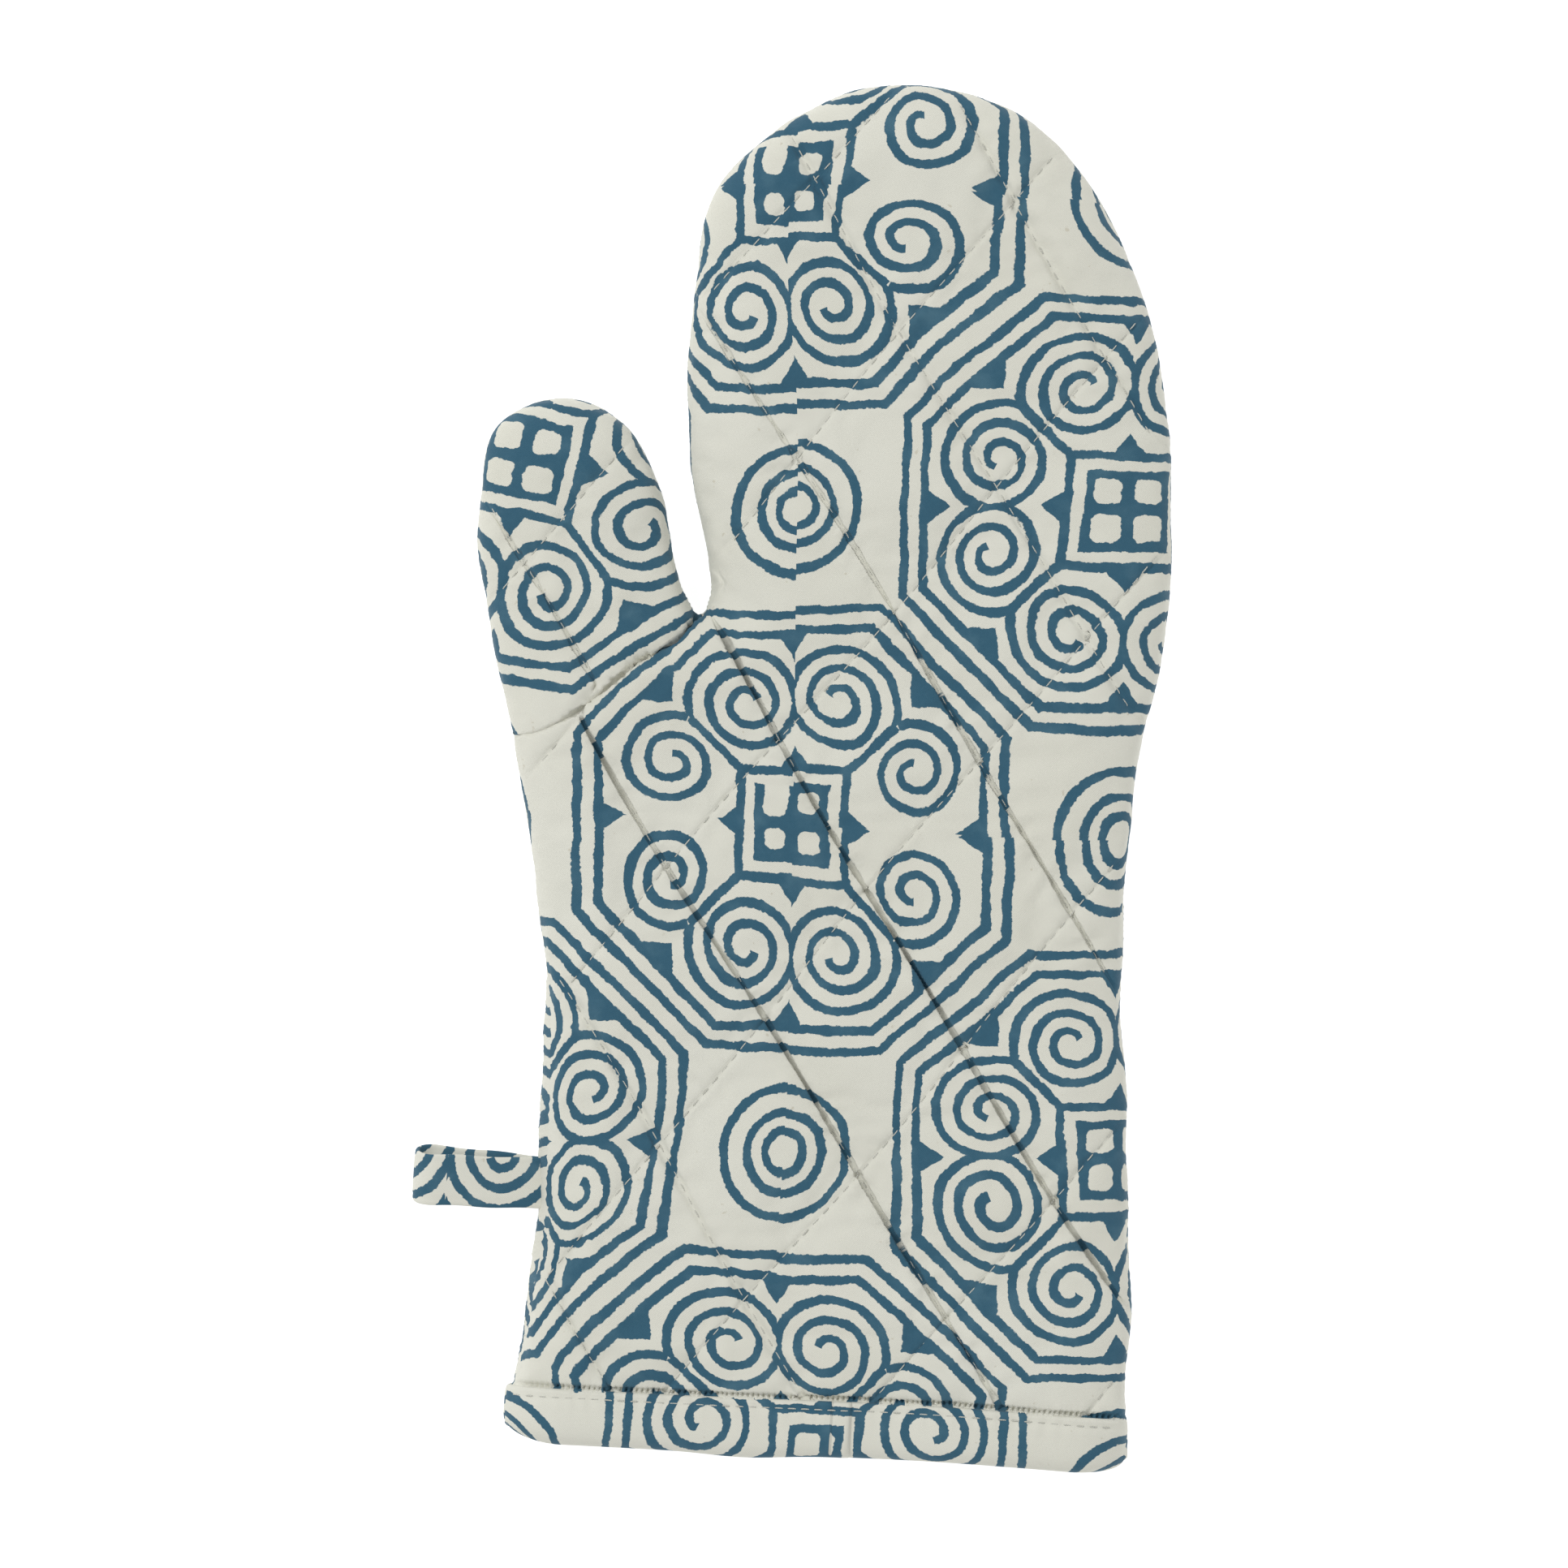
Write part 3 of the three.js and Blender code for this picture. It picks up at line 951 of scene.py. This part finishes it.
def cuff_ring(depth, up):
    """A closed ring round the cuff, at a depth under its surface and a height above its mouth. It starts
    under the right end and goes over the top to the left, with the same number of points at any depth."""
    left = MOUTH_LEFT + CUFF_UP * up + CUFF_ALONG * INSET_LEFT
    right = MOUTH_RIGHT + CUFF_UP * up - CUFF_ALONG * INSET_RIGHT
    straight = np.linalg.norm(right - left) / 2 - EDGE
    half = HALF * 0.86 + 0.4 - depth
    turn = np.linspace(-pi / 2, pi / 2, 41)
    right_end = np.column_stack([straight + (EDGE - depth) * np.cos(turn), half * np.sin(turn)])
    top_x = np.linspace(straight, -straight, 181)[1:-1]
    near_join = BINDING_JOIN - straight - EDGE + np.linspace(-0.8, 0.8, 9)
    top_x = np.sort(np.r_[top_x[abs(top_x - near_join[4]) > 1.2], near_join])[::-1]
    top = np.column_stack([top_x, np.full(len(top_x), half)])
    ring = np.vstack([right_end, top, -right_end, -top])
    return np.column_stack([(left + right) / 2 + ring[:, :1] * CUFF_ALONG, MID + ring[:, 1]])


BINDING_PLACE = np.array([-0.8, 69.4])  # from the binding's left corner to its place on the cloth


def binding():
    """A strip folded over the raw edge: outside leg, fold at the mouth, and inside leg."""
    profile = curve_through([(1.0, BAND - 1.2), (0.1, BAND - 0.35), (-0.75, BAND - 0.5), (-1.15, BAND - 1.6),
                             (-1.3, BAND * 0.6), (-1.25, 4), (-0.8, 1.8), (0.7, 0.2), (2.9, -0.2), (5.1, 0.4),
                             (6.5, 2.2), (6.9, 4.5), (6.9, BAND * 0.6), (6.5, BAND - 1.5),
                             (5.6, BAND - 0.8)], 0.8)
    rings = [cuff_ring(depth, up) for depth, up in profile]
    around = len(rings[0])
    points = crumpled_binding(np.vstack(rings), np.repeat(profile, around, axis=0))
    piece = new_object("cuff_binding_cloth", points, tube_faces(len(rings), around), PRINTED)
    outline = cuff_ring(0, BAND / 2)
    round_cuff = lengths_along(outline)
    top_left = np.argmin(abs((outline[:, :2] - MOUTH_LEFT) @ CUFF_ALONG) + 100 * (outline[:, 2] < MID))
    across = round_cuff[top_left] - round_cuff
    across = np.tile(across + LAP * (across > BINDING_JOIN), len(rings))
    up = BAND + 1 - np.repeat(lengths_along(profile), around) - 3.6 * bell(across - 84, 28)
    places = np.column_stack([across + BINDING_PLACE[0], up + BINDING_PLACE[1], np.ones(len(up))])
    vertex = corner_vertices(piece.data)
    corners = places[vertex]
    # The strip's two ends meet under the cuff, at the last vertex of each ring.
    place_in_ring = (vertex % around).reshape(-1, 4)
    wraps = (place_in_ring == 0) & (place_in_ring == around - 1).any(1)[:, None]
    step = np.linalg.norm(outline[0] - outline[-1])
    corners[wraps.ravel(), 0] = round_cuff[top_left] - round_cuff[-1] - step + BINDING_PLACE[0]
    store(piece.data, "cloth", corners, "CORNER")
    return piece


def band_rise(along):
    """How far the binding lies above the straight line between the mouth's corners."""
    part = share(along / CUFF_WIDTH)
    bow = 4 * part * (1 - part)
    return 0.5 + 0.9 * bow + 0.4 * bow * np.sin(2 * pi * (part - 0.52))


def crumpled_binding(points, profile):
    """Small drag wrinkles along the topstitching, and uneven puffs in between."""
    front = np.where(points[:, 2] > MID, 1.0, -1.0)
    outside = profile[:, 0] < 2
    from_stitches = profile[:, 1] - TOPSTITCHED
    ripple = 0.16 * np.sin(points[:, 0] * 1.75 + 1.5 * murmur(points, 20, 41)) * bell(from_stitches, 3.0)
    swell = 0.3 * murmur(points[:, :2], 26, 42)
    pulled_in = 0.45 * bell(from_stitches, 0.8)
    along = (points[:, :2] - MOUTH_LEFT) @ CUFF_ALONG
    before_join = BINDING_JOIN - along
    lap = 1.3 * share(before_join / 0.2 + 0.5) * np.exp(-np.maximum(before_join, 0) / 9)
    near_end = share(1 - np.minimum(along, CUFF_WIDTH - along) / EDGE)
    corner = np.where(along < CUFF_WIDTH / 2, 3.2, 1.8) * near_end ** 2
    sag = 0.9 * bell(along - 57, 12)
    at_mouth = share(1 - profile[:, 1] / 9)
    points[:, 2] += outside * (front * (swell + ripple - pulled_in) + lap * (front > 0))
    points[:, :2] += CUFF_UP * (band_rise(along) + (corner - sag) * at_mouth)[:, None]
    return settle(points)


# ---- the hanging loop

LOOP_PLACE = np.array([81.4, 46.0])  # from the loop to its place on the printed cloth


def loop_tape():
    """A folded tape: two layers of cloth round a drop-shaped eye, its two ends sewn into the side seam."""
    low, high = box_mm("hanging_loop")
    centre_y, width = (low[1] + high[1]) / 2, high[1] - low[1] - 2.2
    radius = (high[2] - low[2]) / 2 - 1.0
    root, tip = high[0] + 2.2, low[0] + 0.7
    eye = tip + radius
    lean = asin((radius - 0.7) / (root - eye))
    arc = np.linspace(pi / 2 - lean, 1.5 * pi + lean, 40)
    bend = np.column_stack([eye + radius * np.cos(arc), radius * np.sin(arc)])
    path = evenly(np.vstack([[root, 0.75], bend, [root, -0.75]]), 0.7)
    slant = 2.2 / (root - tip)
    section = []
    for t in np.linspace(0, 2 * pi, 44, endpoint=False):
        wide = copysign(abs(cos(t)) ** 0.35, cos(t)) * (width / 2 - 0.15)
        thick = copysign(abs(sin(t)) ** 0.6, sin(t)) * 0.62
        section.append((wide, thick))
    points, places = [], []
    for (x, z), (ox, oz), s in zip(path, -left_of(path), lengths_along(path)):
        shift = slant * ((root + tip) / 2 - x) - 0.9 * z / radius - 0.4 + 0.15 * sin(s * 0.37)
        for wide, thick in section:
            groove = copysign(0.12, thick) * bell(abs(wide) - width / 2 + 1.6, 0.4)
            lean_back = 0.06 * wide
            points.append((x + ox * (thick - groove) + lean_back, centre_y + wide + shift,
                           MID + z + oz * (thick - groove)))
            places.append((-s + root, wide + centre_y, 1.0))
    count = len(section)
    faces = tube_faces(len(path), count, outward=False)
    last = (len(path) - 1) * count
    faces.append(tuple(range(count)))
    faces.append(tuple(range(last + count - 1, last - 1, -1)))
    piece = new_object("hanging_loop_tape", points, faces, PRINTED)
    store(piece.data, "cloth", np.array(places) + np.array([*LOOP_PLACE, 0]))
    return piece


# ---- threads

def stitch_mesh(name, stitches, radius, lift=0.22):
    """Stitches as short threads that rise from the cloth at one end and dive in at the other. Each is its
    start, its end and the direction out of the cloth."""
    lengthwise, sides = 7, 6
    t = np.linspace(0, 1, lengthwise)
    rise = lift * (1 - (2 * t - 1) ** 4) - 0.15
    thick = radius * np.maximum(1 - (2 * t - 1) ** 6, 0.25)
    angles = np.arange(sides) * 2 * pi / sides
    points, faces, along = [], [], []
    for number, (start, end, out) in enumerate(stitches):
        forward = (end - start) / np.linalg.norm(end - start)
        sideways = np.cross(out, forward)
        sideways /= np.linalg.norm(sideways)
        upward = np.cross(forward, sideways)
        spine = start + (end - start) * t[:, None] + upward * rise[:, None]
        base = number * lengthwise * sides
        for k in range(lengthwise):
            ring = thick[k] * (np.cos(angles)[:, None] * sideways + np.sin(angles)[:, None] * upward)
            points.extend(spine[k] + ring)
            along.extend((t[k] * 3, a / (2 * pi), number * 0.37) for a in angles)
        faces.extend(tube_faces(lengthwise, sides, base=base))
        faces.append(tuple(base + i for i in reversed(range(sides))))
        last = base + (lengthwise - 1) * sides
        faces.append(tuple(last + i for i in range(sides)))
    piece = new_object(name, points, faces, STITCHING)
    store(piece.data, "along", along)
    return piece


def cloth_surface(pieces):
    """Everything that a stitch can sit on, as one tree for casting rays."""
    points, faces = [], []
    for piece in pieces:
        start = len(points)
        points.extend(v.co / MM for v in piece.data.vertices)
        faces.extend([start + i for i in face.vertices] for face in piece.data.polygons)
    return BVHTree.FromPolygons(points, faces)


def stitches_along(path, surface, side, pitch, gap):
    """Stitches on the surface under or over a path seen from above."""
    found = []
    lengths = lengths_along(path)
    for s in np.arange(0, lengths[-1] - pitch, pitch):
        ends = []
        for at in (s, s + pitch - gap):
            x, y = np.interp(at, lengths, path[:, 0]), np.interp(at, lengths, path[:, 1])
            hit, normal, _, _ = surface.ray_cast(Vector((x, y, MID + side * 60)), Vector((0, 0, -side)))
            if hit is not None:
                ends.append((np.array(hit), np.array(normal)))
        if len(ends) == 2 and 0.5 < np.linalg.norm(ends[1][0] - ends[0][0]) < pitch * 1.6:
            out = ends[0][1] + ends[1][1]
            found.append((ends[0][0], ends[1][0], out * np.sign(out[2]) * side))
    return found


def quilting_threads(surface):
    """The quilting of both sides, on the thumb and on the rest."""
    on_thumb, on_hand = [], []
    outline = np.vstack(panel_outline())
    for side in (1, -1):
        for family, lines in enumerate(quilt_lines(side)):
            for number, line in zip(LINE_NUMBERS, lines):
                kept = inside(line, outline) & (nearest_seam(line)[1] > 3.5) & (height_up(line) > BAND + 2)
                kept &= nearest_pleat(line)[1] > 4
                if family == 0 and side > 0:
                    # A sharp crease closes over its stitches.
                    kept &= sharpness(number, np.arange(len(line)) * GRAIN, line) < 0.4
                changes = np.nonzero(np.diff(kept.astype(int)))[0] + 1
                for run in np.split(np.arange(len(line)), changes):
                    if len(run) <= 8 or not kept[run[0]]:
                        continue
                    for stitch in stitches_along(line[run], surface, side, 3.5, 1.1):
                        middle = (stitch[0] + stitch[1])[None, :2] / 2
                        thumb = inside(middle, thumb_region())[0]
                        (on_thumb if thumb else on_hand).append(stitch)
    return (stitch_mesh("quilting_thread_hand_and_fingers", on_hand, 0.16),
            stitch_mesh("quilting_thread_thumb", on_thumb, 0.16))


def topstitching(surface):
    """The row of stitches just under the binding's upper edge, on both sides."""
    path = on_cuff(np.arange(1.5, CUFF_WIDTH - 1.5, 1.0), TOPSTITCHED)
    stitches = [s for side in (1, -1) for s in stitches_along(path, surface, side, 3.1, 0.9)]
    return stitch_mesh("cuff_topstitching", stitches, 0.17)


# ---- the lining

def lining():
    """The inner bag that shows in the cuff's mouth, as far up as the palm."""
    levels = np.arange(5.0, 150.0, 5.0)
    rings = [cuff_ring(LINING_DEPTH, up) for up in levels]
    fitted = []
    for ring, up in zip(rings, levels):
        middle = (MOUTH_LEFT + MOUTH_RIGHT) / 2 + CUFF_UP * up
        sides = SEAM[abs(height_up(SEAM) - up) < 0.6]
        reach = (sides - middle) @ CUFF_ALONG
        left, right = reach[reach < 0].max(), reach[reach > 0].min()
        own = (ring[:, :2] - middle) @ CUFF_ALONG
        wanted = np.interp(own, [own.min(), own.max()], [left + LINING_DEPTH, right - LINING_DEPTH])
        fitted.append(np.column_stack([middle + wanted[:, None] * CUFF_ALONG, ring[:, 2]]))
    points = np.vstack(fitted)
    points[:, 2] += 0.5 * murmur(points, 40, 61)
    faces = tube_faces(len(levels), len(rings[0]), outward=False)
    piece = new_object("lining_bag", points, faces, LINING)
    store(piece.data, "cloth", points)
    return piece


# ---- floor, light and camera

LAMPS = (("key", (-1.9, 1.75, 3.0), 1.4, 66), ("fill", (1.0, -0.5, 1.4), 1.6, 4))  # with size and watts


def floor_and_light():
    bpy.ops.mesh.primitive_plane_add(size=6)
    floor = bpy.context.object
    floor.name = "floor"
    material = bpy.data.materials.new("floor")
    material.use_nodes = True
    shader = material.node_tree.nodes["Principled BSDF"]
    for name, value in {"Base Color": (0.6, 0.6, 0.6, 1), "Roughness": 0.9,
                        "Emission Color": (1, 1, 1, 1), "Emission Strength": 0.75}.items():
        shader.inputs[name].default_value = value
    floor.data.materials.append(material)
    for name, place, size, power in LAMPS:
        light = bpy.data.lights.new(name, "AREA")
        light.shape = "DISK"
        light.size = size
        light.energy = power
        lamp = placed_object(name, light)
        lamp.location = place
        lamp.rotation_euler = (-Vector(place)).to_track_quat("-Z", "Y").to_euler()
    world = bpy.data.worlds.new("studio")
    world.use_nodes = True
    background = world.node_tree.nodes["Background"]
    background.inputs["Color"].default_value = (1, 1, 1, 1)
    background.inputs["Strength"].default_value = 0.55
    bpy.context.scene.world = world
    bpy.context.scene.view_settings.view_transform = "Standard"


def camera():
    """Straight above the mitt, far enough away that nothing looks nearer than it is."""
    distance, width_in_view = 1.7, 0.3719
    data = bpy.data.cameras.new("camera")
    data.lens = data.sensor_width * distance / width_in_view
    placed = placed_object("camera", data)
    placed.location = (-0.0019, -0.0008, distance + MID * MM)
    bpy.context.scene.camera = placed


# ---- building it

camera()
floor_and_light()

skin, pinned = whole_skin()
simulate(skin, pinned, 2.5)
skin_mesh, skin_flat = refined(skin)
bpy.data.objects.remove(skin)
hand_cloth, thumb_cloth = divided(skin_mesh, skin_flat)
band_cloth = binding()
loop_cloth = loop_tape()
bag = lining()
surface = cloth_surface([hand_cloth, thumb_cloth, band_cloth])
hand_threads, thumb_threads = quilting_threads(surface)
band_threads = topstitching(surface)


# ---- riding the frame

def joint(name):
    return next(j for j in frame["joints"] if j["name"] == name)


finger_axis = Vector(joint("finger_fold")["pos_m"])
thumb_axis = Vector(joint("thumb_fold")["pos_m"])
thumb_hinge = Vector(joint("thumb_fold")["axis"])

for piece in (hand_cloth, hand_threads):
    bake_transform(piece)
for piece in (thumb_cloth, thumb_threads):
    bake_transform(piece)
for piece in (band_cloth, band_threads, bag):
    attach(piece, "hand")
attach(loop_cloth, "loop")

for part, piece in (("hand", hand_cloth), ("fingers", hand_cloth), ("thumb", thumb_cloth)):
    for face in ("front", "back"):
        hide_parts(f"{face}_shell_{part}", f"{face}_batting_{part}")
        if part != "hand":
            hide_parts(f"{face}_lining_{part}")
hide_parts("front_lining_hand", "back_lining_hand")
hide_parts("cuff_binding")
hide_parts("hanging_loop")
